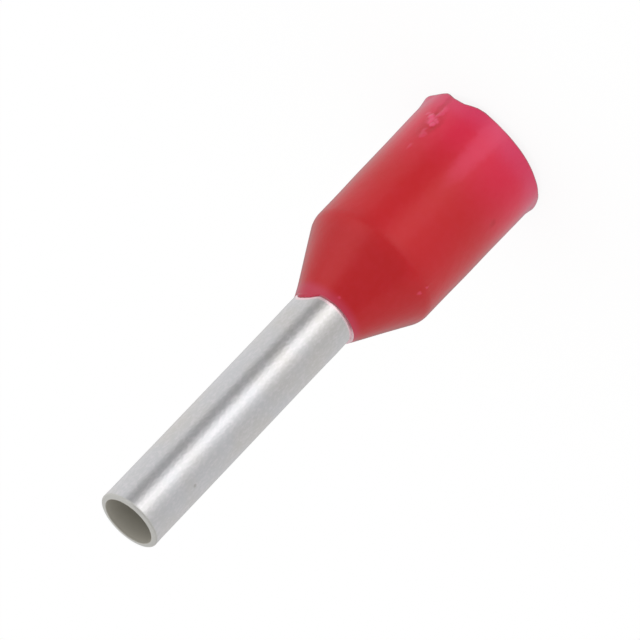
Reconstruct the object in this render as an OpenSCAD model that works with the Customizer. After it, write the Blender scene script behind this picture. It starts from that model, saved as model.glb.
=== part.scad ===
// Insulated wire ferrule: a drawn copper sleeve, belled at one end, gripped by a moulded collar.
// It stands on the collar's mouth. The origin is the centre of the mouth, +Z runs to the sleeve's tip.
// Both pieces are revolved from outlines whose corners are rounded by true arcs.

/* [Sleeve] */
// Bore of the sleeve
bore_d = 1.41; // [1.2:0.01:1.6]
// Wall of the drawn tube
sleeve_wall = 0.155; // [0.1:0.005:0.2]
// Bare length of the sleeve ahead of the collar
bare_l = 7.7; // [5:0.1:12]
// Outer diameter of the bell's rim, inside the collar
bell_d = 2.6; // [2.3:0.05:2.9]
// Rounding of the cut edges at the tip and at the bell's rim
cut_edge_r = 0.045; // [0.01:0.005:0.045]

/* [Collar] */
// Length of the collar along its axis
collar_l = 6.3; // [5.8:0.1:8]
// Length of the barrel, from the mouth to the shoulder
barrel_l = 4.45; // [3.8:0.05:4.8]
// Outer diameter at the mouth
mouth_d = 3.81; // [3.5:0.01:4.4]
// Draft of the barrel's outside, in degrees a side
draft = 0.55; // [0:0.05:1.2]
// Wall of the barrel at the mouth, around the socket for the wire's insulation
barrel_wall = 0.355; // [0.25:0.005:0.45]
// Wall of the cone between the barrel and the nose
cone_wall = 0.32; // [0.25:0.01:0.45]
// Width of the nose's flat end around the sleeve
nose_land = 0.06; // [0.02:0.01:0.2]
// Gap between the throat and the sleeve: none on a tight grip
grip_gap = 0; // [0:0.005:0.03]

/* [Collar roundings] */
// Outer rounding of the shoulder
shoulder_r = 0.5; // [0.1:0.05:0.8]
// Rounding of the throat's edge, which the bell bends around
throat_r = 0.4; // [0.2:0.05:0.6]
// Rounding at the foot of the socket
socket_foot_r = 0.3; // [0.1:0.05:0.5]
// Rounding of the mouth's outer edge
mouth_edge_r = 0.05; // [0.01:0.01:0.08]
// Rounding of the mouth's inner edge, which leads the wire in
lead_in_r = 0.12; // [0.05:0.01:0.14]

/* [Moulding marks] */
// Height of the gate stub below the mouth
stub_h = 0.15; // [0.05:0.01:0.3]
// How far the gate stub stands out of the barrel
stub_out = 0.03; // [0.01:0.01:0.08]
// Arc of the mouth that the gate stub covers, in degrees
stub_arc = 58; // [20:2:90]
// Direction of the gate stub's middle from +X, in degrees
stub_at = -9; // [-180:1:180]
// How far the parting-line flash stands out at the mouth
lip_out = 0.07; // [0.02:0.01:0.12]
// Height of the parting-line flash along the barrel
lip_h = 0.22; // [0.1:0.01:0.4]
// Arc of the mouth that the parting-line flash covers, in degrees
lip_arc = 36; // [10:2:90]
// Direction of the parting-line flash's middle from +X, in degrees
lip_at = 174; // [-180:1:180]
// Length of the film of flash that runs from the nose onto the sleeve
film_l = 0.28; // [0.1:0.01:0.5]
// Thickness of that film
film_t = 0.03; // [0.01:0.01:0.05]
// Arc of the sleeve that the film covers, in degrees
film_arc = 62; // [20:2:90]
// Direction of the film's middle from +X, in degrees
film_at = -38; // [-180:1:180]

/* [Hidden] */
$fn = 96;

sleeve_r = bore_d / 2 + sleeve_wall;
throat = sleeve_r + grip_gap;
tip_z = collar_l + bare_l;
nose_r = throat + nose_land;
mouth_r = mouth_d / 2;
socket_r = mouth_r - barrel_wall;
shoulder = [mouth_r - barrel_l * tan(draft), barrel_l];
nose = [nose_r, collar_l];
cone_angle = atan2(shoulder.x - nose.x, nose.y - shoulder.y);
stub_root = 0.3; // how far the gate stub's root reaches up into the barrel's wall

// Unit vector from the nose down the cone, and the cone's outward normal.
cone_dir = [sin(cone_angle), -cos(cone_angle)];
cone_normal = [cos(cone_angle), sin(cone_angle)];

// Height at which a line parallel to the cone, sunk below it by depth, has the radius r.
function sunk_cone_z(r, depth) =
    let (start = nose - depth * cone_normal)
    start.y + (r - start.x) / cone_dir.x * cone_dir.y;

// Point of the bell's wall at the rim: the outer face's rim moved inward by depth.
function bell_rim(depth) = [bell_d / 2, sunk_cone_z(bell_d / 2, cone_wall + grip_gap)] - depth * cone_normal;

function turn(a, b) = a.x * b.y - a.y * b.x;

// Where the rounding of radius r leaves the corner's two sides, and the centre of its arc.
function rounding(before, at, after, r) =
    let (
        u = (before - at) / norm(before - at),
        v = (after - at) / norm(after - at),
        half = acos(u * v) / 2,
        middle = (u + v) / norm(u + v)
    )
    [at + u * r / tan(half), at + v * r / tan(half), at + middle * r / sin(half)];

// An outline with rounded corners. Each corner is [x, y, radius], anticlockwise, and radius 0 is sharp.
// The arcs are drawn a hair large, so that they cross the sides cleanly instead of only touching them.
module rounded_outline(corners) {
    hair = 1.0005;
    n = len(corners);
    at = [for (c = corners) [c.x, c.y]];
    round_at = [for (i = [0:n - 1])
        corners[i].z > 0 ? rounding(at[(i + n - 1) % n], at[i], at[(i + 1) % n], corners[i].z) : undef];
    inward = [for (i = [0:n - 1]) turn(at[i] - at[(i + n - 1) % n], at[(i + 1) % n] - at[i]) < 0];
    difference() {
        polygon([for (i = [0:n - 1])
            each (inward[i] && corners[i].z > 0 ? [round_at[i][0], round_at[i][1]] : [at[i]])]);
        for (i = [0:n - 1])
            if (corners[i].z > 0) {
                centre = round_at[i][2];
                if (inward[i])
                    translate(centre) circle(corners[i].z * hair);
                else
                    translate(centre) difference() {
                        polygon(1.2 * [
                            [0, 0], round_at[i][0] - centre, at[i] - centre, round_at[i][1] - centre
                        ]);
                        circle(corners[i].z * hair);
                    }
            }
    }
}

// What is left of children() inside a window, an outline drawn across and up as seen from outside
// at the given direction, and pushed out along it from the axis.
module seen_through(direction, reach) {
    intersection() {
        children(0);
        rotate([90, 0, direction + 90]) linear_extrude(reach) children(1);
    }
}

module collar_body() {
    rotate_extrude()
        rounded_outline([
            [socket_r, 0, lead_in_r],
            [mouth_r, 0, mouth_edge_r],
            [shoulder.x, shoulder.y, shoulder_r],
            [nose.x, nose.y, 0],
            [throat, collar_l, 0],
            [throat, sunk_cone_z(throat, cone_wall), throat_r],
            [socket_r, sunk_cone_z(socket_r, cone_wall), socket_foot_r]
        ]);
}

// What is left of the gate after the collar was broken off its runner, with sloping ends.
module gate_stub() {
    inner = socket_r + lead_in_r;
    outer = mouth_r + stub_out;
    half_width = mouth_r * sin(stub_arc / 2);
    seen_through(stub_at, 2 * mouth_r) {
        rotate_extrude()
            polygon([
                [inner, stub_root],
                [inner, 0],
                [inner + stub_h / 2, -stub_h],
                [outer - stub_h / 4, -stub_h],
                [outer, -stub_h / 2],
                [mouth_r - stub_root * tan(draft), stub_root]
            ]);
        polygon([
            [-half_width, stub_root],
            [-half_width, 0],
            [stub_h / 2 - half_width, -stub_h],
            [half_width - stub_h, -stub_h],
            [half_width, 0],
            [half_width, stub_root]
        ]);
    }
}

// Thin flash pushed out at the mould's parting line: a crescent, the edge of an off-centre disc that
// meets the mouth at both ends of its arc, tapering up into the barrel.
module parting_flash() {
    offset_r = lip_out * (lip_out + 2 * mouth_r) / 2 / (mouth_r + lip_out - mouth_r * cos(lip_arc / 2));
    disc_r = mouth_r + lip_out - offset_r;
    difference() {
        rotate([0, 0, lip_at]) translate([offset_r, 0, 0])
            cylinder(r1 = disc_r, r2 = disc_r - lip_out - lip_h * tan(draft), h = lip_h);
        translate([0, 0, -lip_h]) cylinder(r = mouth_r - lead_in_r, h = 3 * lip_h);
    }
}

// A film of plastic squeezed out between the nose and the sleeve, thinning to a round edge.
module nose_film() {
    half_width = throat * sin(film_arc / 2);
    edge_r = (half_width * half_width + film_l * film_l) / (2 * film_l);
    seen_through(film_at, 2 * throat) {
        rotate_extrude()
            polygon([
                [throat, collar_l - film_l],
                [throat + film_t, collar_l - film_l],
                [throat + film_t, collar_l],
                [throat + film_t / 3, collar_l + film_l],
                [throat, collar_l + film_l]
            ]);
        translate([0, collar_l + film_l - edge_r]) circle(edge_r);
    }
}

module collar() {
    color("crimson") union() {
        collar_body();
        gate_stub();
        parting_flash();
        nose_film();
    }
}

module sleeve() {
    bend_r = throat_r + grip_gap;
    inner_r = bore_d / 2;
    edge = min(cut_edge_r, 0.45 * sleeve_wall);
    outer_depth = cone_wall + grip_gap;
    inner_depth = outer_depth + sleeve_wall;
    rim_outer = bell_rim(0);
    rim_inner = bell_rim(sleeve_wall);
    color("silver") rotate_extrude()
        rounded_outline([
            [rim_outer.x, rim_outer.y, edge],
            [sleeve_r, sunk_cone_z(sleeve_r, outer_depth), bend_r],
            [sleeve_r, tip_z, edge],
            [inner_r, tip_z, edge],
            [inner_r, sunk_cone_z(inner_r, inner_depth), bend_r + sleeve_wall],
            [rim_inner.x, rim_inner.y, edge]
        ]);
}

collar();
sleeve();
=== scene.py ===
"""Insulated wire ferrule: a belled, tinned copper sleeve gripped by a moulded red collar, dressed and lit.

Both pieces stand in the frame's own coordinates: the collar's mouth on z = 0 and the sleeve pointing up.
A bearing is a direction about that axis, in degrees from +X towards +Y.
"""
import logging
import math
from collections.abc import Callable, Mapping, Sequence
from dataclasses import dataclass
from enum import Enum

import bmesh
import bpy
from mathutils import Matrix, Vector, noise


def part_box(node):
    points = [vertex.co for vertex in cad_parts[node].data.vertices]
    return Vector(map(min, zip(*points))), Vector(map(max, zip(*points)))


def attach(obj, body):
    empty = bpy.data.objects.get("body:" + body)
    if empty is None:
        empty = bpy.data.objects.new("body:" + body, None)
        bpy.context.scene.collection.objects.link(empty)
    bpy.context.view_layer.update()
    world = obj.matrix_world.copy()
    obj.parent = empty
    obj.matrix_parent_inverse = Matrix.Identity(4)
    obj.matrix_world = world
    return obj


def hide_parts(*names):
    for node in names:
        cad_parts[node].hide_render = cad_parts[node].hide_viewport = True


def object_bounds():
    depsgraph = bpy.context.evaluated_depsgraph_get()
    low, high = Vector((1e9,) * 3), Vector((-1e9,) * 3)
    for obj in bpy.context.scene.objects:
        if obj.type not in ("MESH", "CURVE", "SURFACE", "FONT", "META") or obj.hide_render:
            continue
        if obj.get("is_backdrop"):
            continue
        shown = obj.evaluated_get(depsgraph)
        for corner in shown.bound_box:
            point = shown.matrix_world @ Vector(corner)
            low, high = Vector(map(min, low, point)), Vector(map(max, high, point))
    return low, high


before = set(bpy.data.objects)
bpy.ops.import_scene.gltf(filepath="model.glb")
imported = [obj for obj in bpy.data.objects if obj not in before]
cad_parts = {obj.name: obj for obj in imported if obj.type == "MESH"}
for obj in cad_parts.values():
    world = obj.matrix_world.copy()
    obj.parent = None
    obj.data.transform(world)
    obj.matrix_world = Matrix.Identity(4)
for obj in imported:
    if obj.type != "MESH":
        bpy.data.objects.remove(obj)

LOG = logging.getLogger("ferrule")
MM = 0.001
DEGREES = 180.0 / math.pi
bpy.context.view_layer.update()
ABOVE_COLLAR = "above_collar"  # The sleeve's attribute: height over the collar's end, in millimetres.
ABOVE_MOUTH = "above_mouth"  # The collar's attribute: height over its true mouth, in millimetres.
HALF_TURN = 180.0
QUARTER_TURN = 90.0
ARC_STEPS = 6  # Steps in each rounded corner of a section.
MERGE_DISTANCE = 1e-4 * MM
HARD_EDGE = math.radians(40.0)  # Edges whose faces meet at this angle or a greater one stay hard.
MIDDLE = 0.5  # Middle of a cloud's range.

# Numbers of a colour mix's sockets, which lie among those for other kinds of value.
MIX_SHARE, MIX_UNDER, MIX_OVER, MIX_RESULT = 0, 6, 7, 2

Colour = tuple[float, float, float]
Place = tuple[float, float, float]
Span = tuple[float, float]  # Where something starts to show, and where it shows fully.

WHITE: Colour = (1.0, 1.0, 1.0)


# --------------------------------------------------------------------------------------------------
# Small sums


def eased(share: float) -> float:
    """Ease a share from 0 to 1, level at both ends."""
    held = min(max(share, 0.0), 1.0)
    return held * held * (3.0 - 2.0 * held)


def swell(distance: float) -> float:
    """Give the height of a soft mound, 1 at its middle and 0 from a distance of 1 on."""
    return 1.0 - eased(abs(distance))


def bearing_of(place: Vector) -> float:
    """Give a point's bearing about the axis, in degrees."""
    return math.atan2(place.y, place.x) * DEGREES


def bearing_gap(bearing: float, middle: float) -> float:
    """Give the signed angle from a middle to a bearing, from -180 to 180 degrees."""
    return (bearing - middle + HALF_TURN) % (2.0 * HALF_TURN) - HALF_TURN


def under(top: float, depths: Span) -> Span:
    """Give the two levels that lie at two depths under a top."""
    return top - depths[0], top - depths[1]


def opaque(colour: Colour) -> tuple[float, float, float, float]:
    """Give a colour with full cover."""
    return (*colour, 1.0)


def push_out(vert: bmesh.types.BMVert, distance: float) -> None:
    """Move a vertex straight out from the axis by a distance in metres."""
    outward = Vector((vert.co.x, vert.co.y, 0.0)).normalized()
    vert.co += outward * distance


# --------------------------------------------------------------------------------------------------
# Turned sections


class Pitch(Enum):
    """The greatest spacing of the mesh's rings along a section, in metres."""

    FINE = 0.045 * MM
    PLAIN = 0.25 * MM


@dataclass(frozen=True)
class Corner:
    """A corner of a section that is turned about the axis.

    Attributes:
        radius: Its distance from the axis, in metres.
        height: Its height, in metres.
        rounding: Radius of the arc that takes the corner's place, in metres, or 0 for a sharp corner.
    """

    radius: float
    height: float
    rounding: float = 0.0

    def place(self) -> Vector:
        """Give the corner's place in the plane of the section."""
        return Vector((self.radius, 0.0, self.height))

    def run(self, before: "Corner", after: "Corner") -> float:
        """Work out how far the corner's arc runs back along its two sides.

        Args:
            before: The corner before this one.
            after: The corner after this one.

        Returns:
            The distance from the corner to either end of the arc, in metres.
        """
        back = before.place() - self.place()
        onward = after.place() - self.place()
        return self.rounding / math.tan(back.angle(onward) / 2.0)


def turned(
    corners: Sequence[Corner], steps: int, pitch: Callable[[Vector], Pitch]
) -> bmesh.types.BMesh:
    """Turn a closed section into a ring about the axis.

    Args:
        corners: The section's corners in order.
        steps: Number of steps in the full turn.
        pitch: Says how closely rings are spaced at a place on the section.

    Returns:
        The closed solid, its faces pointing outwards.
    """
    body = bmesh.new()
    points = [body.verts.new(corner.place()) for corner in corners]
    body.faces.new(points)
    for index, corner in enumerate(corners):
        if corner.rounding == 0.0:
            continue
        run = corner.run(corners[index - 1], corners[(index + 1) % len(corners)])
        bmesh.ops.bevel(
            body, geom=[points[index]], offset=run, offset_type="OFFSET", segments=ARC_STEPS,
            profile=0.5, affect="VERTICES", material=-1, clamp_overlap=False,
        )
    bmesh.ops.delete(body, geom=body.faces[:], context="FACES_ONLY")
    for side in body.edges[:]:
        spacing = pitch((side.verts[0].co + side.verts[1].co) / 2.0).value
        cuts = math.ceil(side.calc_length() / spacing) - 1
        if cuts > 0:
            bmesh.ops.subdivide_edges(body, edges=[side], cuts=cuts)
    bmesh.ops.spin(
        body, geom=body.verts[:] + body.edges[:], cent=(0.0, 0.0, 0.0), axis=(0.0, 0.0, 1.0),
        angle=math.tau, steps=steps, use_merge=True,
    )
    bmesh.ops.remove_doubles(body, verts=body.verts, dist=MERGE_DISTANCE)
    bmesh.ops.recalc_face_normals(body, faces=body.faces)
    return body


def piece_from(body: bmesh.types.BMesh, name: str, material: bpy.types.Material) -> bpy.types.Object:
    """Make a finished piece of a mesh: smooth, with hard edges where its faces meet at a sharp angle.

    Args:
        body: The mesh, which is freed.
        name: The piece's name.
        material: Its finish.

    Returns:
        The piece, linked to the scene.
    """
    for face in body.faces:
        face.smooth = True
    for edge in body.edges:
        edge.smooth = edge.calc_face_angle(0.0) < HARD_EDGE
    mesh = bpy.data.meshes.new(name)
    body.to_mesh(mesh)
    body.free()
    mesh.materials.append(material)
    piece = bpy.data.objects.new(name, mesh)
    bpy.context.scene.collection.objects.link(piece)
    return piece


# --------------------------------------------------------------------------------------------------
# Marks


@dataclass(frozen=True)
class Mark:
    """A small raised, sunk or tinted spot on a turned surface. Some tints are a speck's own colour; others
    are painted highlights and painted shade.

    Attributes:
        bearing: Bearing of its middle, in degrees.
        height: Height of its middle, in millimetres.
        across: Half its width round the surface, in millimetres.
        along: Half its length along the axis, in millimetres.
        raised: How far its middle stands out, in millimetres; less than 0 where it is sunk.
        pale: How far its middle turns to the pale tint, from 0 to 1.
        dark: How far its middle turns to the dark tint, from 0 to 1.
    """

    bearing: float
    height: float
    across: float
    along: float
    raised: float = 0.0
    pale: float = 0.0
    dark: float = 0.0

    def raise_at(self, place: Vector) -> float:
        """Work out how far the mark lifts a place on the surface.

        Args:
            place: The place, in metres.

        Returns:
            The lift, in metres.
        """
        radius = math.hypot(place.x, place.y) / MM
        sideways = bearing_gap(bearing_of(place), self.bearing) / DEGREES * radius / self.across
        upwards = (place.z / MM - self.height) / self.along
        return self.raised * MM * swell(math.hypot(sideways, upwards))


@dataclass(frozen=True)
class TornEdge:
    """A round edge that stands out of its own plane by an amount that changes round it.

    Attributes:
        stops: Pairs of a bearing in degrees and how far the edge stands out there in millimetres, in
            order of bearing. The edge is true before the first one and after the last.
    """

    stops: tuple[tuple[float, float], ...]

    def stands_out(self, bearing: float) -> float:
        """Work out how far the edge stands out.

        Args:
            bearing: The bearing looked at.

        Returns:
            The distance, in metres.
        """
        for (start, first), (end, last) in zip(self.stops, self.stops[1:]):
            if start <= bearing < end:
                return (first + (last - first) * (bearing - start) / (end - start)) * MM
        return 0.0


# --------------------------------------------------------------------------------------------------
# Shader nodes


class Ray(Enum):
    """Kinds of ray that a finish or the surroundings can tell apart."""

    CAMERA = "Is Camera Ray"
    GLOSSY = "Is Glossy Ray"
    TRANSMISSION = "Is Transmission Ray"


@dataclass(frozen=True)
class Cloud:
    """Soft random variation.

    Attributes:
        grain: Size of its spots, in millimetres.
        detail: How many finer layers it has.
    """

    grain: float
    detail: float = 2.0


class Level:
    """A number at each point of a surface, held by a node's socket. Sums on it add Math nodes."""

    def __init__(self, board: "Board", socket: bpy.types.NodeSocket) -> None:
        """Hold a socket of a board."""
        self.board = board
        self.socket = socket

    def _sum(self, operation: str, *terms: "Level | float") -> "Level":
        """Add a Math node for an operation on some terms."""
        return self.board.node("ShaderNodeMath", {"operation": operation}, dict(enumerate(terms)))

    def __add__(self, other: "Level | float") -> "Level":
        """Add."""
        return self._sum("ADD", self, other)

    __radd__ = __add__

    def __sub__(self, other: "Level | float") -> "Level":
        """Take away."""
        return self._sum("SUBTRACT", self, other)

    def __rsub__(self, other: "Level | float") -> "Level":
        """Take this level from a number."""
        return self._sum("SUBTRACT", other, self)

    def __mul__(self, other: "Level | float") -> "Level":
        """Multiply."""
        return self._sum("MULTIPLY", self, other)

    __rmul__ = __mul__

    def __truediv__(self, other: "Level | float") -> "Level":
        """Divide."""
        return self._sum("DIVIDE", self, other)

    def __pow__(self, power: float) -> "Level":
        """Raise to a power."""
        return self._sum("POWER", self, power)

    def size(self) -> "Level":
        """Drop the sign."""
        return self._sum("ABSOLUTE", self)

    def wrapped(self) -> "Level":
        """Bring an angle in degrees between -180 and 180."""
        return self._sum("WRAP", self, HALF_TURN, -HALF_TURN)

    def or_more(self, other: "Level | float") -> "Level":
        """Give the larger of two."""
        return self._sum("MAXIMUM", self, other)

    def arc_sine(self) -> "Level":
        """Give the angle whose sine this is, in radians."""
        return self._sum("ARCSINE", self)

    def bearing_to(self, sideways: "Level") -> "Level":
        """Give the angle of a direction with this forward part and a part sideways, in degrees."""
        return self._sum("ARCTAN2", sideways, self) * DEGREES

    def rise(self, start: float, end: float, low: float = 0.0, high: float = 1.0) -> "Level":
        """Ease from one level to another as this one goes from start to end.

        Args:
            start: Where the easing starts; it may lie above the end.
            end: Where it ends.
            low: The level before the start.
            high: The level past the end.

        Returns:
            The eased level.
        """
        ends = {"From Min": start, "From Max": end, "To Min": low, "To Max": high}
        return self.board.node(
            "ShaderNodeMapRange", {"interpolation_type": "SMOOTHSTEP"}, {"Value": self, **ends}
        )


class Board:
    """The node tree of one finish or of the surroundings."""

    def __init__(self, tree: bpy.types.NodeTree) -> None:
        """Start on an emptied tree."""
        tree.nodes.clear()
        self.tree = tree

    def add(
        self,
        kind: str,
        settings: Mapping[str, object] | None = None,
        sockets: Mapping[str | int, object] | None = None,
    ) -> bpy.types.Node:
        """Add a node, set it up and feed its sockets. Every node comes from here.

        Args:
            kind: The node's type.
            settings: Its own settings, set before its sockets.
            sockets: A value or a level for each input socket, by name or number.

        Returns:
            The node.
        """
        node = self.tree.nodes.new(kind)
        for name, value in (settings or {}).items():
            setattr(node, name, value)
        for name, value in (sockets or {}).items():
            if isinstance(value, Level):
                self.tree.links.new(value.socket, node.inputs[name])
            else:
                node.inputs[name].default_value = value
        return node

    def node(
        self,
        kind: str,
        settings: Mapping[str, object] | None = None,
        sockets: Mapping[str | int, object] | None = None,
        give: str | int = 0,
    ) -> Level:
        """Add a node and give one of its outputs.

        Args:
            kind: The node's type.
            settings: Its own settings.
            sockets: A value or a level for each input socket, by name or number.
            give: The output wanted, by name or number.

        Returns:
            The output.
        """
        return Level(self, self.add(kind, settings, sockets).outputs[give])

    def parts(self, vector: Level) -> tuple[Level, Level, Level]:
        """Split a vector into its x, y and z."""
        split = self.add("ShaderNodeSeparateXYZ", {}, {"Vector": vector})
        return tuple(Level(self, socket) for socket in split.outputs)

    def rays(self, *kinds: Ray) -> Level:
        """Tell rays of some kinds from all others.

        Args:
            kinds: The kinds.

        Returns:
            1 for a ray of one of the kinds, 0 for any other.
        """
        path = self.add("ShaderNodeLightPath")
        first, *others = (Level(self, path.outputs[kind.value]) for kind in kinds)
        return sum(others, first)

    def place_mm(self) -> Level:
        """Give the place on the piece, in millimetres."""
        place = self.node("ShaderNodeTexCoord", give="Object")
        return self.node("ShaderNodeVectorMath", {"operation": "SCALE"}, {0: place, "Scale": 1.0 / MM})

    def stretched(self, place: Level, by: Place) -> Level:
        """Scale a place by a factor along each axis."""
        return self.node("ShaderNodeVectorMath", {"operation": "MULTIPLY"}, {0: place, 1: by})

    def around(self, place: Level) -> tuple[Level, Level, Level]:
        """Give a place's distance from the axis, its bearing in degrees and its height."""
        across, deep, height = self.parts(place)
        return (across * across + deep * deep) ** 0.5, across.bearing_to(deep), height

    def cloud(self, place: Level, cloud: Cloud) -> Level:
        """Add a cloud, from 0 to 1, looked up at a place in millimetres."""
        sockets = {"Vector": place, "Scale": 1.0 / cloud.grain, "Detail": cloud.detail}
        return self.node("ShaderNodeTexNoise", {}, sockets)

    def blend(self, share: Level | float, lower: Level | Colour, upper: Level | Colour) -> Level:
        """Lay one colour over another.

        Args:
            share: How much of the upper one shows, from 0 to 1.
            lower: The lower colour.
            upper: The upper colour.

        Returns:
            The colour seen.
        """
        below, over = (one if isinstance(one, Level) else opaque(one) for one in (lower, upper))
        sockets = {MIX_SHARE: share, MIX_UNDER: below, MIX_OVER: over}
        return self.node("ShaderNodeMix", {"data_type": "RGBA"}, sockets, give=MIX_RESULT)

    def spot(self, mark: Mark, bearing: Level, radius: Level, height: Level) -> Level:
        """Show where a mark is: 1 at its middle, 0 outside it.

        Args:
            mark: The mark.
            bearing: Bearing at each point, in degrees.
            radius: Distance from the axis, in millimetres.
            height: Height, in millimetres.

        Returns:
            The mark's strength.
        """
        sideways = (bearing - mark.bearing) * radius / (DEGREES * mark.across)
        upwards = (height - mark.height) / mark.along
        return (sideways * sideways + upwards * upwards).rise(1.0, 0.0)

    def bump(self, height: Level, depth: float) -> Level:
        """Make a normal from a height map.

        Args:
            height: The height, from 0 to 1.
            depth: What a height of 1 stands for, in metres.

        Returns:
            The normal.
        """
        return self.node("ShaderNodeBump", {}, {"Height": height, "Distance": depth, "Strength": 1.0})

    def surface(self, shader: Level, kind: str = "ShaderNodeOutputMaterial") -> None:
        """Send a shader to the tree's output."""
        self.add(kind, {}, {"Surface": shader})


def new_finish(name: str) -> tuple[bpy.types.Material, Board]:
    """Start a material.

    Args:
        name: The material's name.

    Returns:
        The material and its board.
    """
    material = bpy.data.materials.new(name)
    material.use_nodes = True
    return material, Board(material.node_tree)


# --------------------------------------------------------------------------------------------------
# Finishes


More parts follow.
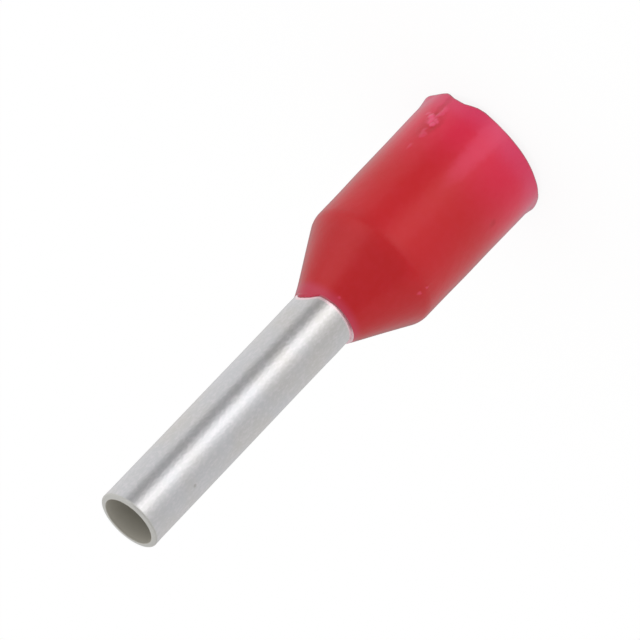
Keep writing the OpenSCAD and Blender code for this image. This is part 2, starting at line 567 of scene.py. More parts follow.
@dataclass(frozen=True)
class RedPolypropylene:
    """Moulded polypropylene, deep red where it is thick, with a painted rosy glow where light gets through
    its wall.

    Lengths are in millimetres, and a span's two ends are where its part starts to show and shows fully.

    Attributes:
        cone: Colour over the cone, where the bell lies close behind the wall.
        barrel: Colour of the barrel.
        lit_wall: Painted glow near the mouth, for light that comes through the wall from inside.
        rim: Painted glow on the mouth's rim, where it is strongest.
        nose: Colour at the thin nose.
        pale: Tint of pale flecks and specks, of painted highlights on the gate scar's bumps, and of a
            painted sheen stripe near the mouth.
        dark: Tint of a dark speck, and of painted shade in the gate scar's groove and pit and round the
            scar.
        end: Painted pale pink highlight on part of the nose's end face.
        edge_line_shade: Painted shade: a greyed dark line on the mouth's very edge and on the nose's end
            face.
        gloss: Roughness of the moulded skin.
        mouth_gloss: The same near the mouth, where the mould was polished.
        gloss_heights: Heights between which one turns to the other.
        gloss_drift: How far the slow variation changes it.
        ior: Refractive index.
        specular: Strength of the reflection.
        shade_coat_tint: Tint of a clear coat that paints shade on the skin, greying it where it is seen
            edge-on.
        shade_coat_cover: Share of the skin that this coat covers.
        shade_coat_gloss: Roughness of the coat.
        shade_coat_ior: Its refractive index; close to 1, because the coat tints and doesn't shine.
        drift: Slow variation of colour and gloss.
        wander: How far that variation moves the bounds between the colours along the collar.
        shoulder_depths: Depths under the shoulder between which the cone's colour turns to the barrel's.
        lit_heights: Span of the lit wall's heights.
        lit_power: Power that gathers the lit wall's colour towards the mouth.
        rim_heights: Span of the rim's heights.
        rim_share: How much of the rim's colour shows there.
        nose_depths: Span of the thin nose's depths under the end.
        end_facing: How far up a face points where it starts to count as the end face, and where it does.
        end_depths: Span of the end face's depths under the end.
        edge_line_shade_heights: Span of the mouth's very edge over the mouth.
        edge_line_shade_depths: Its span in from the outside.
        end_highlight_bearing: Middle of that painted highlight on the nose's end face, in degrees.
        end_highlight_arcs: Span of the highlight to either side of its middle, in degrees.
        flecks: Fine pale variation.
        fleck_levels: Span of its levels that show as flecks.
        fleck_share: How pale the flecks are.
        grain: The skin's finest unevenness.
        ripple: Its widest unevenness.
        fleck_height: Height of the flecks in the relief, where the ripple's is 1.
        grain_height: Height of the grain in it.
        relief: Depth of the relief.
        ragged_across: Variation that makes the marks ragged round the collar.
        ragged_along: Variation that makes them ragged along it.
        raggedness: How far it moves their edges.
    """

    cone: Colour = (0.470, 0.002, 0.005)
    barrel: Colour = (0.545, 0.003, 0.008)
    lit_wall: Colour = (0.680, 0.010, 0.049)
    rim: Colour = (0.700, 0.045, 0.130)
    nose: Colour = (0.495, 0.026, 0.058)
    pale: Colour = (0.800, 0.070, 0.168)
    dark: Colour = (0.400, 0.001, 0.007)
    end: Colour = (0.860, 0.560, 0.600)
    edge_line_shade: Colour = (0.440, 0.100, 0.125)
    gloss: float = 0.325
    mouth_gloss: float = 0.290
    gloss_heights: Span = (0.7, 4.0)
    gloss_drift: float = 0.02
    ior: float = 1.49
    specular: float = 0.40
    shade_coat_tint: Colour = (0.79, 1.0, 1.0)
    shade_coat_cover: float = 0.25
    shade_coat_gloss: float = 0.60
    shade_coat_ior: float = 1.001
    drift: Cloud = Cloud(1.6, 3.0)
    wander: float = 0.9
    shoulder_depths: Span = (0.5, -0.5)
    lit_heights: Span = (3.2, 0.7)
    lit_power: float = 2.0
    rim_heights: Span = (0.9, -0.1)
    rim_share: float = 0.8
    nose_depths: Span = (0.25, 0.0)
    end_facing: Span = (0.62, 0.92)
    end_depths: Span = (0.14, 0.10)
    edge_line_shade_heights: Span = (0.055, 0.015)
    edge_line_shade_depths: Span = (0.07, 0.03)
    end_highlight_bearing: float = 178.0
    end_highlight_arcs: Span = (48.0, 26.0)
    flecks: Cloud = Cloud(0.22, 4.0)
    fleck_levels: Span = (0.35, 0.75)
    fleck_share: float = 0.03
    grain: Cloud = Cloud(0.07)
    ripple: Cloud = Cloud(0.9)
    fleck_height: float = 0.25
    grain_height: float = 0.12
    relief: float = 0.012
    ragged_across: Cloud = Cloud(0.20, 5.0)
    ragged_along: Cloud = Cloud(0.17, 5.0)
    raggedness: float = 0.21

    def material(
        self, marks: Sequence[Mark], mouth_radius: float, shoulder: float, nose_height: float
    ) -> bpy.types.Material:
        """Make the collar's material.

        Args:
            marks: The spots on the collar.
            mouth_radius: Outer radius of the mouth, in millimetres.
            shoulder: Height of the shoulder, in millimetres.
            nose_height: Height of the nose, in millimetres.

        Returns:
            The material.
        """
        made, board = new_finish("red_polypropylene")
        place = board.place_mm()
        radius, bearing, height = board.around(place)
        drift = board.cloud(place, self.drift) - MIDDLE
        wandering = height + drift * self.wander
        on_cone = wandering.rise(*under(shoulder, self.shoulder_depths))
        colour = board.blend(on_cone, self.barrel, self.cone)
        # Painted glow: rosier towards the mouth and on its rim, for light that comes through the wall.
        colour = board.blend(wandering.rise(*self.lit_heights) ** self.lit_power, colour, self.lit_wall)
        colour = board.blend(wandering.rise(*self.rim_heights) * self.rim_share, colour, self.rim)
        colour = board.blend(height.rise(*under(nose_height, self.nose_depths)), colour, self.nose)
        _, _, upward = board.parts(board.node("ShaderNodeTexCoord", give="Normal"))
        on_end = upward.rise(*self.end_facing) * height.rise(*under(nose_height, self.end_depths))
        over_mouth = board.node("ShaderNodeAttribute", {"attribute_name": ABOVE_MOUTH}, give="Fac")
        at_outside = radius.rise(*under(mouth_radius, self.edge_line_shade_depths))
        on_edge_line_shade = over_mouth.rise(*self.edge_line_shade_heights) * at_outside
        # Painted shade: a greyed dark line on the nose's end face, next to the sleeve, and on the mouth's
        # very edge.
        colour = board.blend(on_end.or_more(on_edge_line_shade), colour, self.edge_line_shade)
        # Painted highlight: part of the end face, which points up, is painted pale pink.
        end_highlight = (bearing - self.end_highlight_bearing).wrapped().size().rise(*self.end_highlight_arcs)
        colour = board.blend(on_end * end_highlight, colour, self.end)
        flecks = board.cloud(place, self.flecks)
        colour = board.blend(flecks.rise(*self.fleck_levels) * self.fleck_share, colour, self.pale)
        grain = board.cloud(place, self.grain)
        ripple = board.cloud(place, self.ripple)
        raised = flecks * self.fleck_height + grain * self.grain_height + ripple
        skin = wandering.rise(*self.gloss_heights, self.mouth_gloss, self.gloss)
        ragged = (board.cloud(place, self.ragged_across) - MIDDLE) * self.raggedness
        bearing = bearing + ragged * DEGREES / radius
        height = height + (board.cloud(place, self.ragged_along) - MIDDLE) * self.raggedness
        for mark in marks:
            strength = board.spot(mark, bearing, radius, height)
            if mark.pale:
                colour = board.blend(strength * mark.pale, colour, self.pale)
            if mark.dark:
                colour = board.blend(strength * mark.dark, colour, self.dark)
        board.surface(
            board.node(
                "ShaderNodeBsdfPrincipled",
                {},
                {
                    "Base Color": colour,
                    "Roughness": skin + drift * self.gloss_drift,
                    "Normal": board.bump(raised, self.relief * MM),
                    "IOR": self.ior,
                    "Specular IOR Level": self.specular,
                    # The coat's tint is painted shade, greying the skin where it is seen edge-on.
                    "Coat Weight": self.shade_coat_cover,
                    "Coat Roughness": self.shade_coat_gloss,
                    "Coat IOR": self.shade_coat_ior,
                    "Coat Tint": opaque(self.shade_coat_tint),
                },
            )
        )
        return made


@dataclass(frozen=True)
class TinnedCopper:
    """Electro-tinned copper tube: satin, mottled, drawn lengthwise, and duller inside the bore.

    Lengths are in millimetres, and a span's two ends are where its part starts to show and shows fully.

    Attributes:
        tin: Colour of the plating.
        worn: Warmer colour where the plating is thin.
        bore: Colour inside the bore.
        edge: Colour of the cut edge at the tip.
        fleck: Brighter, faintly rosy grains of the plating.
        bright: Pale pink painted reflection of the collar's nose, on the plating just over the collar's
            end.
        dark: Tint of pits.
        gloss: Roughness of the plating.
        drawn: Factors that draw the mottle out along the tube.
        mottle: The plating's fine grain.
        drift: Slow variation of its colour.
        worn_levels: Span of the slow variation's levels that show as worn.
        fleck_levels: Span of the grain's levels that show as flecks.
        fleck_share: How much of the flecks' colour shows there.
        cut_depths: Span of the cut edge's depths under the tip.
        bright_heights: Span of the bright ring's upper end over the collar's end.
        bright_depths: Span of its lower end.
        bright_share: How much of its colour shows there.
        bore_depths: Span of the bore's depths in from the middle of the wall.
        mottle_gloss: How far the grain changes the roughness.
        bore_gloss: Roughness added inside the bore.
        cut_gloss: Roughness added on the cut edge.
        bore_dulling: Share of its metal look that the plating loses inside the bore.
        bright_dulling: The same in the bright ring.
        relief: Depth of the grain.
    """

    tin: Colour = (0.588, 0.592, 0.606)
    worn: Colour = (0.588, 0.576, 0.558)
    bore: Colour = (0.46, 0.44, 0.385)
    edge: Colour = (0.66, 0.655, 0.63)
    fleck: Colour = (0.74, 0.70, 0.73)
    bright: Colour = (0.95, 0.68, 0.73)
    dark: Colour = (0.30, 0.29, 0.25)
    gloss: float = 0.30
    drawn: Place = (1.0, 1.0, 0.6)
    mottle: Cloud = Cloud(0.07, 3.0)
    drift: Cloud = Cloud(1.3)
    worn_levels: Span = (0.35, 0.70)
    fleck_levels: Span = (0.40, 0.75)
    fleck_share: float = 0.5
    cut_depths: Span = (0.075, 0.02)
    bright_heights: Span = (0.11, 0.05)
    bright_depths: Span = (-0.20, -0.05)
    bright_share: float = 0.75
    bore_depths: Span = (0.045, 0.070)
    mottle_gloss: float = 0.04
    bore_gloss: float = 0.25
    cut_gloss: float = 0.45
    bore_dulling: float = 0.7
    bright_dulling: float = 0.25
    relief: float = 0.0045

    def material(self, marks: Sequence[Mark], wall_middle: float, tip: float) -> bpy.types.Material:
        """Make the sleeve's material.

        Args:
            marks: The spots on the sleeve.
            wall_middle: Radius of the middle of the tube's wall, in millimetres.
            tip: Height of the tip, in millimetres.

        Returns:
            The material.
        """
        made, board = new_finish("tinned_copper")
        place = board.place_mm()
        radius, bearing, height = board.around(place)
        mottle = board.cloud(board.stretched(place, self.drawn), self.mottle)
        drift = board.cloud(place, self.drift)
        colour = board.blend(drift.rise(*self.worn_levels), self.tin, self.worn)
        colour = board.blend(mottle.rise(*self.fleck_levels) * self.fleck_share, colour, self.fleck)
        on_cut = height.rise(*under(tip, self.cut_depths))
        colour = board.blend(on_cut, colour, self.edge)
        for mark in marks:
            strength = board.spot(mark, bearing, radius, height) * mark.dark
            colour = board.blend(strength, colour, self.dark)
        # Painted reflection: the plating just over the collar's end is painted pale pink, as if reflecting
        # the red nose.
        above = board.node("ShaderNodeAttribute", {"attribute_name": ABOVE_COLLAR}, give="Fac")
        nose_reflection_band = above.rise(*self.bright_heights) * above.rise(*self.bright_depths)
        colour = board.blend(nose_reflection_band * self.bright_share, colour, self.bright)
        inside = radius.rise(*under(wall_middle, self.bore_depths))
        colour = board.blend(inside, colour, self.bore)
        shine = self.gloss + (mottle - MIDDLE) * self.mottle_gloss
        board.surface(
            board.node(
                "ShaderNodeBsdfPrincipled",
                {},
                {
                    "Base Color": colour,
                    "Metallic": (1.0 - inside * self.bore_dulling) * (1.0 - nose_reflection_band * self.bright_dulling),
                    "Roughness": shine + inside * self.bore_gloss + on_cut * self.cut_gloss,
                    "Normal": board.bump(mottle, self.relief * MM),
                },
            )
        )
        return made


@dataclass(frozen=True)
class PaleFloor:
    """Plain white floor that shows white wherever the light reaches it and keeps a faint soft shadow.

    Attributes:
        paint: Colour of the paint that takes light and shadow.
        shown: Colour that shows to the camera, whatever falls on the floor.
        own: Share of the floor that shows that colour.
    """

    paint: Colour = (0.97, 0.97, 0.97)
    shown: Colour = WHITE
    own: float = 0.90

    def material(self) -> bpy.types.Material:
        """Make the floor's material.

        Returns:
            The material.
        """
        made, board = new_finish("pale_floor")
        seen = board.rays(Ray.CAMERA, Ray.GLOSSY, Ray.TRANSMISSION)
        paint = board.node("ShaderNodeBsdfDiffuse", {}, {"Color": opaque(self.paint)})
        glow = board.node("ShaderNodeEmission", {}, {"Color": opaque(self.shown), "Strength": 1.0})
        board.surface(board.node("ShaderNodeMixShader", {}, {0: seen * self.own, 1: paint, 2: glow}))
        return made


# --------------------------------------------------------------------------------------------------
# The ferrule


@dataclass(frozen=True)
class Collar:
    """The moulded collar: a socket for the wire's insulation, a cone and a throat that grips the sleeve.

    Lengths are in metres and angles in degrees.

    Attributes:
        length: From the mouth to the true end of the nose.
        barrel: Height of the shoulder.
        mouth_radius: Outer radius at the mouth.
        shoulder_radius: Outer radius at the shoulder.
        barrel_wall: Thickness of the barrel's wall at the mouth.
        cone_wall: Thickness of the cone's wall.
        throat: Radius of the throat.
        nose_land: Width of the nose's end face.
        scar_reach: Height up to which the outside has close rings, for the gate's scar.
        shoulder_rounding: Radius of the arc at the shoulder.
        throat_rounding: Radius of the arc inside, where the cone meets the throat.
        foot_rounding: Radius of the arc inside, where the cone meets the socket.
        lead_in: Radius of the mouth's inner edge.
        mouth_edge: Radius of the mouth's outer edge.
        film_thickness: Thickness of the film of flash that runs from the nose on to the sleeve.
        film_clear: Nearer the throat than this many film thicknesses, nothing takes the waves or marks.
        film_margin: Within this many of them from the throat, the nose's end rises with the film.
        film_blend: Share of the film's extra height that the nose's outer edge takes.
        film_root: Least width that the nose's end face keeps.
        end_reach: Depth under the true end within which a vertex belongs to the end face.
        rim_reach: Height over which the mouth's uneven edge fades out.
        flash_out: How far the parting line's flash stands out at the mouth.
        flash_height: Height over which it fades out.
        flash_depth: Depth in from the outside that it moves.
        flash_bearing: Bearing of its middle.
        flash_half_arc: Half its arc.
        long_nose: How much longer than true the nose is where it is longest.
        long_nose_bearing: Where that is.
        long_nose_half_arc: Half the arc where it is longer.
        short_nose: How much shorter than true it is where it is shortest.
        short_nose_bearing: Where that is.
        short_nose_half_arc: Half the arc where it is shorter.
        waviness: How far the skin waves in and out.
        wave: Size of those waves.
        steps: Number of steps in the full turn.
        rim: How far the mouth's edge stands out downwards.
        film: How far the film reaches up the sleeve.
        marks: The gate's scar and specks, with painted highlights on the scar, painted shade in and round
            its groove, and a painted sheen stripe near the mouth.
    """

    length: float = 6.30 * MM
    barrel: float = 4.45 * MM
    mouth_radius: float = 1.905 * MM
    shoulder_radius: float = 1.8623 * MM
    barrel_wall: float = 0.355 * MM
    cone_wall: float = 0.32 * MM
    throat: float = 0.86 * MM
    nose_land: float = 0.06 * MM
    scar_reach: float = 2.1 * MM
    shoulder_rounding: float = 0.5 * MM
    throat_rounding: float = 0.4 * MM
    foot_rounding: float = 0.3 * MM
    lead_in: float = 0.12 * MM
    mouth_edge: float = 0.03 * MM
    film_thickness: float = 0.02 * MM
    film_clear: float = 1.5
    film_margin: float = 1.01
    film_blend: float = 0.35
    film_root: float = 0.025 * MM
    end_reach: float = 0.01 * MM
    rim_reach: float = 0.34 * MM
    flash_out: float = 0.06 * MM
    flash_height: float = 0.24 * MM
    flash_depth: float = 0.1 * MM
    flash_bearing: float = 174.0
    flash_half_arc: float = 20.0
    long_nose: float = 0.105 * MM
    long_nose_bearing: float = -5.0
    long_nose_half_arc: float = 60.0
    short_nose: float = 0.03 * MM
    short_nose_bearing: float = 176.0
    short_nose_half_arc: float = 45.0
    waviness: float = 0.008 * MM
    wave: float = 1.1 * MM
    steps: int = 360
    rim: TornEdge = TornEdge(
        stops=(
            (-180.0, 0.09), (-168.0, 0.115), (-158.0, 0.045), (-140.0, 0.005), (-105.0, -0.005),
            (-90.0, 0.010), (-78.0, 0.040), (-72.0, 0.062), (-65.0, 0.055), (-58.5, 0.012), (-53.5, -0.022),
            (-49.0, -0.004), (-42.0, 0.040), (-34.0, 0.148), (-31.0, 0.176), (-21.0, 0.150), (-6.0, 0.142),
            (6.0, 0.110), (20.0, 0.0), (150.0, 0.0), (181.0, 0.09),
        )
    )
    film: TornEdge = TornEdge(
        stops=(
            (-91.0, 0.0), (-81.0, 0.03), (-71.0, 0.04), (-60.6, 0.06), (-54.8, 0.13), (-48.5, 0.215),
            (-40.0, 0.275), (-30.0, 0.30), (-22.0, 0.28), (-14.0, 0.18), (-6.0, 0.13), (16.0, 0.12),
            (30.0, 0.0),
        )
    )
    marks: tuple[Mark, ...] = (
        Mark(-4.0, -0.05, 0.50, 0.31, raised=0.055),
        # Painted sheen: a soft pale stripe up the barrel from the mouth.
        Mark(-87.5, 0.50, 0.38, 2.10, pale=0.28),
        # Painted shade round the gate's scar.
        Mark(-42.0, 0.98, 0.38, 0.66, dark=0.35),
        Mark(-47.5, 0.93, 0.20, 0.18, dark=0.15),
        # The scar's groove and a pit: sunk, and darkened with painted shade.
        Mark(-39.7, 0.62, 0.08, 0.12, raised=-0.004, dark=0.40),
        Mark(-38.2, 0.40, 0.15, 0.24, raised=-0.004, dark=0.34),
        Mark(-39.3, 0.12, 0.15, 0.24, raised=-0.004, dark=0.28),
        Mark(-46.8, 1.08, 0.09, 0.10, raised=-0.008, dark=0.30),
        # The scar's bumps and ridges: raised, with painted highlights.
        Mark(-40.8, 0.85, 0.27, 0.19, pale=0.55),
        Mark(-36.6, 0.73, 0.13, 0.12, raised=0.022, pale=1.00),
        Mark(-31.5, 0.66, 0.10, 0.07, raised=0.008, pale=0.55),
        Mark(-40.2, 0.86, 0.11, 0.13, raised=0.016, pale=0.85),
        Mark(-44.4, 0.98, 0.10, 0.11, raised=0.018, pale=0.85),
        Mark(-44.6, 0.82, 0.09, 0.07, raised=0.008, pale=0.60),
        Mark(-42.2, 0.64, 0.08, 0.12, raised=0.008, pale=0.50),
        Mark(-43.7, 0.46, 0.11, 0.22, raised=0.010, pale=0.50),
        Mark(-42.5, 1.22, 0.09, 0.11, raised=0.010, pale=0.28),
        Mark(-44.2, 1.37, 0.14, 0.15, raised=0.012, pale=0.34),
        Mark(-43.2, 1.84, 0.08, 0.16, raised=0.008, pale=0.20),
        # Pale specks and a dark speck.
        Mark(-137.9, 4.61, 0.07, 0.07, raised=0.010, pale=0.35),
        Mark(-136.2, 4.37, 0.06, 0.06, raised=0.010, pale=0.35),
        Mark(-86.0, 6.15, 0.06, 0.06, raised=0.008, pale=0.30),
        Mark(-140.0, 1.77, 0.14, 0.14, raised=-0.004, dark=0.35),
    )

    def nose_radius(self) -> float:
        """Give the outer radius of the true nose, in metres."""
        return self.throat + self.nose_land

    def mid_wall(self) -> float:
        """Give the radius of the middle of the barrel's wall at the mouth, in metres."""
        return self.mouth_radius - self.barrel_wall / 2.0

    def cone_run_per_rise(self) -> float:
        """Give how much narrower the cone gets for each unit of its height."""
        return (self.shoulder_radius - self.throat - self.nose_land) / (self.length - self.barrel)

    def sunk_cone_height(self, radius: float) -> float:
        """Work out the height of the cone's inner face.

        Args:
            radius: Distance from the axis, in metres.

        Returns:
            The height there, in metres.
        """
        fall = (self.length - self.barrel) / (self.shoulder_radius - self.nose_radius())
        below = self.cone_wall * math.hypot(1.0, fall)
        return self.length - below - (radius - self.nose_radius()) * fall

    def section(self) -> list[Corner]:
        """List the corners of the collar's section, up the outside and down the inside.

        Returns:
            The corners.
        """
        socket = self.mouth_radius - self.barrel_wall
        lean = (self.mouth_radius - self.shoulder_radius) / self.barrel
        return [
            Corner(socket, 0.0, self.lead_in),
            Corner(self.mouth_radius, 0.0, self.mouth_edge),
            Corner(self.mouth_radius - lean * self.scar_reach, self.scar_reach),
            Corner(self.shoulder_radius, self.barrel, self.shoulder_rounding),
            Corner(self.nose_radius(), self.length),
            Corner(self.throat + self.film_thickness, self.length),
            Corner(self.throat, self.length),
            Corner(self.throat, self.sunk_cone_height(self.throat), self.throat_rounding),
            Corner(socket, self.sunk_cone_height(socket), self.foot_rounding),
        ]

    def pitch(self, place: Vector) -> Pitch:
        """Say how closely rings are spaced: fine where the scar is, on the outside near the mouth."""
        outside = place.x > self.mid_wall()
        return Pitch.FINE if outside and place.z < self.scar_reach else Pitch.PLAIN

    def work(self, vert: bmesh.types.BMVert) -> None:
        """Give one vertex the marks that the mould and the gate left.

        Args:
            vert: The vertex, on the true turned shape.
        """
        true = vert.co.copy()
        radius = math.hypot(true.x, true.y)
        bearing = bearing_of(true)
        outside = radius > self.mid_wall() or true.z > self.barrel
        if outside and radius > self.throat + self.film_thickness * self.film_clear:
            lift = self.waviness * noise.noise(true / self.wave)
            lift += sum(mark.raise_at(true) for mark in self.marks)
            push_out(vert, lift)
        if radius > self.mouth_radius - self.flash_depth and true.z < self.flash_height:
            arc = swell(bearing_gap(bearing, self.flash_bearing) / self.flash_half_arc)
            push_out(vert, self.flash_out * arc * (1.0 - true.z / self.flash_height))
        if true.z < self.rim_reach:
            vert.co.z -= self.rim.stands_out(bearing) * (1.0 - eased(true.z / self.rim_reach))
        if self.length - true.z < self.end_reach:
            self.work_nose(vert, radius, bearing)

    def work_nose(self, vert: bmesh.types.BMVert, radius: float, bearing: float) -> None:
        """Give one vertex of the nose's end its uneven length and the film of flash on the sleeve.

        Args:
            vert: The vertex.
            radius: Its true distance from the axis.
            bearing: Its bearing.
        """
        along = self.stretch(bearing)
        film = self.film_rise(bearing)
        if radius > self.throat + self.film_margin * self.film_thickness:
            land = along + self.film_blend * (film - along)
            narrowing = min(land * self.cone_run_per_rise(), self.nose_land - self.film_root)
            push_out(vert, -narrowing)
            vert.co.z += land
        else:
            vert.co.z += film

    def stretch(self, bearing: float) -> float:
        """Work out how much longer than true the nose is.

        Args:
            bearing: The bearing looked at.

        Returns:
            The extra length, in metres; less than 0 where the nose is short.
        """
        longer = swell(bearing_gap(bearing, self.long_nose_bearing) / self.long_nose_half_arc)
        shorter = swell(bearing_gap(bearing, self.short_nose_bearing) / self.short_nose_half_arc)
        return self.long_nose * longer - self.short_nose * shorter

    def film_rise(self, bearing: float) -> float:
        """Give how far over the true nose the collar ends on the sleeve at a bearing, in metres."""
        along = self.stretch(bearing)
        return max(along, self.film.stands_out(bearing)) if along >= 0.0 else along

    def edge_height(self, bearing: float) -> float:
        """Give the height at which the collar ends on the sleeve at a bearing, in metres."""
        return self.length + self.film_rise(bearing)

    def build(self, finish: RedPolypropylene) -> bpy.types.Object:
        """Make the collar.

        Args:
            finish: What it is moulded from.

        Returns:
            The piece, riding on its body in place of the CAD collar.
        """
        body = turned(self.section(), self.steps, self.pitch)
        above_mouth = body.verts.layers.float.new(ABOVE_MOUTH)
        for vert in body.verts:
            vert[above_mouth] = vert.co.z / MM
            self.work(vert)
        heights = self.barrel / MM, self.length / MM
        material = finish.material(self.marks, self.mouth_radius / MM, *heights)
        piece = piece_from(body, "moulded_collar", material)
        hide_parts("collar")
        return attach(piece, "root")


@dataclass(frozen=True)
class Sleeve:
    """The drawn copper sleeve: a thin tube with a square-cut tip, belled inside the collar.

    Lengths are in metres.

    Attributes:
        tip: Height of the tip.
        outer_radius: Outer radius of the tube.
        wall: Thickness of its wall.
        bell_radius: Outer radius of the bell's rim.
        bend_rounding: Radius of the outer arc where the bell starts.
        cut_edge: Radius of the edges of the bell's rim.
        tip_edge: Radius of the tip's outer edge.
        inner_edge: Radius of its inner edge.
        tip_fall: How far below the tip's height the outer edge lies.
        tip_rise: How far above it the inner edge lies.
        burr: How far the cutter pushed the tip's edge out.
        burr_reach: Length over which that fades out.
        swelling: How far the tube swells behind the collar.
        swelling_reach: Height over the collar's true end where the swelling has faded out.
        clear: Length over which the swelling and the waves come in.
        clear_start: How far over the collar's true end they start to, as a share of that length.
        waviness: How far the tube waves in and out.
        wave: Size of those waves.
        steps: Number of steps in the full turn.
        marks: The specks on the tube.
    """

    tip: float
    outer_radius: float = 0.86 * MM
    wall: float = 0.155 * MM
    bell_radius: float = 1.30 * MM
    bend_rounding: float = 0.4 * MM
    cut_edge: float = 0.03 * MM
    tip_edge: float = 0.045 * MM
    inner_edge: float = 0.012 * MM
    tip_fall: float = 0.006 * MM
    tip_rise: float = 0.018 * MM
    burr: float = 0.010 * MM
    burr_reach: float = 0.12 * MM
    swelling: float = 0.010 * MM
    swelling_reach: float = 1.5 * MM
    clear: float = 0.25 * MM
    clear_start: float = 0.5
    waviness: float = 0.002 * MM
    wave: float = 1.3 * MM
    steps: int = 256
    marks: tuple[Mark, ...] = (Mark(-131.5, 12.38, 0.06, 0.07, dark=0.45),)

    def section(self, collar: Collar) -> list[Corner]:
        """List the corners of the sleeve's section, up the outside and down the inside.

        Args:
            collar: The collar that the bell is pressed into.

        Returns:
            The corners.
        """
        run = collar.shoulder_radius - collar.nose_radius()
        rise = collar.length - collar.barrel
        down_cone = Vector((run, 0.0, -rise)).normalized()
        outward = Vector((rise, 0.0, run)).normalized()
        rim = Vector((self.bell_radius, 0.0, collar.sunk_cone_height(self.bell_radius)))
        inner_rim = rim - outward * self.wall
        inner = self.outer_radius - self.wall
        inner_bend = inner_rim - down_cone * (inner_rim.x - inner) / down_cone.x
        return [
            Corner(rim.x, rim.z, self.cut_edge),
            Corner(self.outer_radius, collar.sunk_cone_height(self.outer_radius), self.bend_rounding),
            Corner(self.outer_radius, self.tip - self.tip_fall, self.tip_edge),
            Corner(inner, self.tip + self.tip_rise, self.inner_edge),
            Corner(inner, inner_bend.z, self.bend_rounding + self.wall),
            Corner(inner_rim.x, inner_rim.z, self.cut_edge),
        ]

    def pitch(self, place: Vector) -> Pitch:
        """Say how closely rings are spaced: plainly at any place."""
        return Pitch.PLAIN

    def work(self, vert: bmesh.types.BMVert, nose_height: float) -> None:
        """Give one vertex the slight swelling behind the collar, the tip's burr and the tube's waves.

        Args:
            vert: The vertex, on the true turned shape.
            nose_height: Height of the collar's true end.
        """
        above_nose = vert.co.z - nose_height
        if above_nose <= 0.0:
            return
        clear = eased(above_nose / self.clear - self.clear_start)
        lift = self.swelling * clear * (1.0 - eased(above_nose / self.swelling_reach))
        lift += self.waviness * clear * noise.noise(vert.co / self.wave)
        lift += self.burr * (1.0 - eased((self.tip - vert.co.z) / self.burr_reach))
        push_out(vert, lift)

    def build(self, collar: Collar, finish: TinnedCopper) -> bpy.types.Object:
        """Make the sleeve.

        Args:
            collar: The collar that grips it.
            finish: What it is made of.

        Returns:
            The piece, riding on its body in place of the CAD sleeve.
        """
        body = turned(self.section(collar), self.steps, self.pitch)
        above_collar = body.verts.layers.float.new(ABOVE_COLLAR)
        for vert in body.verts:
            vert[above_collar] = (vert.co.z - collar.edge_height(bearing_of(vert.co))) / MM
            self.work(vert, collar.length)
        wall_middle = self.outer_radius - self.wall / 2.0
        material = finish.material(self.marks, wall_middle / MM, self.tip / MM)
        piece = piece_from(body, "tinned_sleeve", material)
        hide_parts("sleeve")
        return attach(piece, "root")


# --------------------------------------------------------------------------------------------------
# The studio


@dataclass(frozen=True)
class Zone:
    """A brighter or darker part of the studio's surroundings, as reflections see it.

    Attributes:
        level: How bright it is; 1 is white.
        bearing: Its middle, in degrees to the right of the way from the object to the camera.
        half_width: Half its width, in degrees.
        low: Its lower end, in degrees above the horizon.
        high: Its upper end.
        soft: Width of its soft edge, in degrees.
    """

    level: float
    bearing: float
    half_width: float
    low: float
    high: float
    soft: float

    def share(self, bearing: Level, elevation: Level) -> Level:
        """Show where the zone is.

        Args:
            bearing: Direction about the upright, in degrees.
            elevation: Direction above the horizon, in degrees.

        Returns:
            1 inside the zone, 0 outside.
        """
        sideways = (bearing - self.bearing).wrapped().size() - self.half_width
        upwards = (elevation - (self.low + self.high) / 2.0).size() - (self.high - self.low) / 2.0
        return sideways.or_more(upwards).rise(self.soft / 2.0, -self.soft / 2.0)


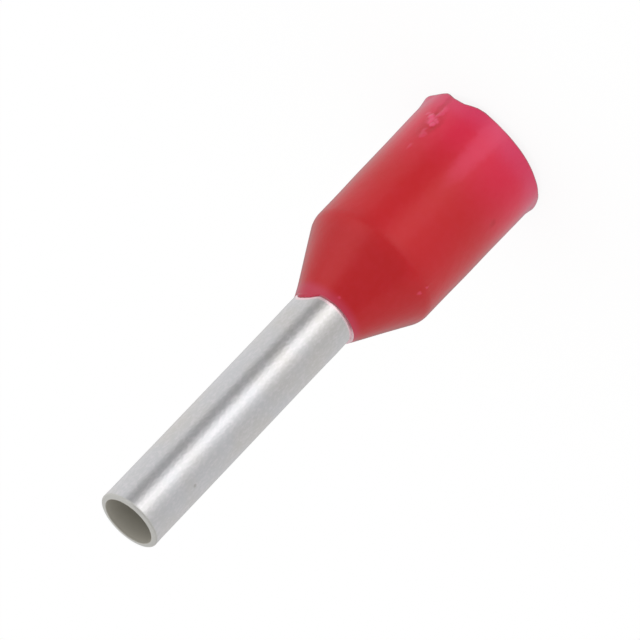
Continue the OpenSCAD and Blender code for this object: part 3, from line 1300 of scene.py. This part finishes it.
@dataclass(frozen=True)
class Studio:
    """A white floor under nearly even white light, with brighter and darker zones for the gloss to show.

    Attributes:
        floor_height: Height of the floor, in metres.
        floor_radius: Its radius, in metres.
        floor_steps: Number of its edges.
        plain_level: Brightness of the light that falls on matt surfaces; 1 is white.
        lean: How much brighter that light is from +X than plain, and darker from -X.
        back_lean: The same from +Y and -Y.
        zones: The zones, in the order they are laid over one another.
    """

    floor_height: float
    floor_radius: float = 0.40
    floor_steps: int = 96
    plain_level: float = 1.035
    lean: float = 0.11
    back_lean: float = -0.05
    zones: tuple[Zone, ...] = (
        Zone(level=0.95, bearing=-120.0, half_width=60.0, low=-90.0, high=60.0, soft=50.0),
        Zone(level=0.80, bearing=115.0, half_width=65.0, low=-90.0, high=60.0, soft=50.0),
        Zone(level=0.45, bearing=-43.5, half_width=17.5, low=-90.0, high=5.0, soft=16.0),
        Zone(level=0.75, bearing=58.0, half_width=22.0, low=-90.0, high=20.0, soft=24.0),
        Zone(level=0.30, bearing=12.0, half_width=46.0, low=2.0, high=70.0, soft=24.0),
        Zone(level=1.50, bearing=-62.0, half_width=18.0, low=6.0, high=50.0, soft=20.0),
        Zone(level=1.72, bearing=-0.5, half_width=15.0, low=-90.0, high=-1.0, soft=14.0),
        Zone(level=0.50, bearing=180.0, half_width=20.0, low=-90.0, high=20.0, soft=20.0),
    )

    def light(self) -> None:
        """Fill the world with light: plain white in view, leaning on matt surfaces, zoned for gloss."""
        world = bpy.data.worlds.new("studio")
        world.use_nodes = True
        world.cycles.sampling_method = "NONE"
        bpy.context.scene.world = world
        board = Board(world.node_tree)
        across, deep, up = board.parts(board.node("ShaderNodeTexCoord", give="Generated"))
        bearing = (deep * -1.0).bearing_to(across * -1.0)
        elevation = up.arc_sine() * DEGREES
        level: Level | float = 1.0
        for zone in self.zones:
            share = zone.share(bearing, elevation)
            level = level * (1.0 - share) + share * zone.level
        glossy = board.rays(Ray.GLOSSY)
        seen = board.rays(Ray.CAMERA, Ray.TRANSMISSION)
        plain = self.plain_level + across * self.lean + deep * self.back_lean
        strength = glossy * level + seen + (1.0 - glossy - seen) * plain
        sky = board.node("ShaderNodeBackground", {}, {"Color": opaque(WHITE), "Strength": strength})
        board.surface(sky, "ShaderNodeOutputWorld")

    def lay_floor(self, finish: PaleFloor) -> bpy.types.Object:
        """Lay the floor under the object.

        Args:
            finish: Its paint.

        Returns:
            The floor.
        """
        disc = bmesh.new()
        bmesh.ops.create_circle(disc, cap_ends=True, segments=self.floor_steps, radius=self.floor_radius)
        bmesh.ops.translate(disc, verts=disc.verts, vec=(0.0, 0.0, self.floor_height))
        floor = piece_from(disc, "floor", finish.material())
        floor.visible_glossy = False
        floor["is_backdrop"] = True
        return floor


@dataclass(frozen=True)
class Viewpoint:
    """Where the camera stands: how high it looks from, how it is rolled, and what it is aimed at.

    Attributes:
        elevation: Height of the line of sight above the horizon, in degrees.
        roll: Turn of the camera about that line, in degrees.
        aim: Height of the point that it looks at, in metres.
        aside: How far that point lies from the axis towards +X, in metres.
        distance: From that point to the camera, in metres.
        lens: Focal length, in millimetres.
        sensor: Width of the sensor, in millimetres.
        nearest: Distance from which the camera sees, in metres.
        farthest: Distance up to which it sees, in metres.
    """

    elevation: float = 26.42
    roll: float = -136.38
    aim: float = 6.455 * MM
    aside: float = 0.009 * MM
    distance: float = 150.97 * MM
    lens: float = 341.2
    sensor: float = 36.0
    nearest: float = MM
    farthest: float = 10.0

    def place(self) -> bpy.types.Object:
        """Set the scene's camera up.

        Returns:
            The camera.
        """
        data = bpy.data.cameras.new("camera")
        data.sensor_width = self.sensor
        data.lens = self.lens
        data.clip_start = self.nearest
        data.clip_end = self.farthest
        camera = bpy.data.objects.new("camera", data)
        upright = Matrix.Rotation(math.radians(QUARTER_TURN - self.elevation), 4, "X")
        rolled = upright @ Matrix.Rotation(math.radians(self.roll), 4, "Z")
        back = upright.to_3x3() @ Vector((0.0, 0.0, 1.0))
        target = Vector((self.aside, 0.0, self.aim))
        camera.matrix_world = Matrix.Translation(target + back * self.distance) @ rolled
        bpy.context.scene.collection.objects.link(camera)
        bpy.context.scene.camera = camera
        return camera


def report(piece: bpy.types.Object) -> None:
    """Log a piece's name and its number of triangles."""
    triangles = sum(len(face.vertices) - 2 for face in piece.data.polygons)
    LOG.info("%s: %d triangles", piece.name, triangles)


def main() -> None:
    """Build the ferrule, the studio round it and the camera."""
    logging.basicConfig(level=logging.INFO, format="%(name)s: %(message)s")
    bpy.context.scene.view_settings.view_transform = "Standard"
    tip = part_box("sleeve")[1].z
    collar = Collar()
    report(collar.build(RedPolypropylene()))
    report(Sleeve(tip=tip).build(collar, TinnedCopper()))
    studio = Studio(floor_height=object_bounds()[0].z)
    studio.light()
    report(studio.lay_floor(PaleFloor()))
    Viewpoint().place()


if __name__ == "__main__":
    main()
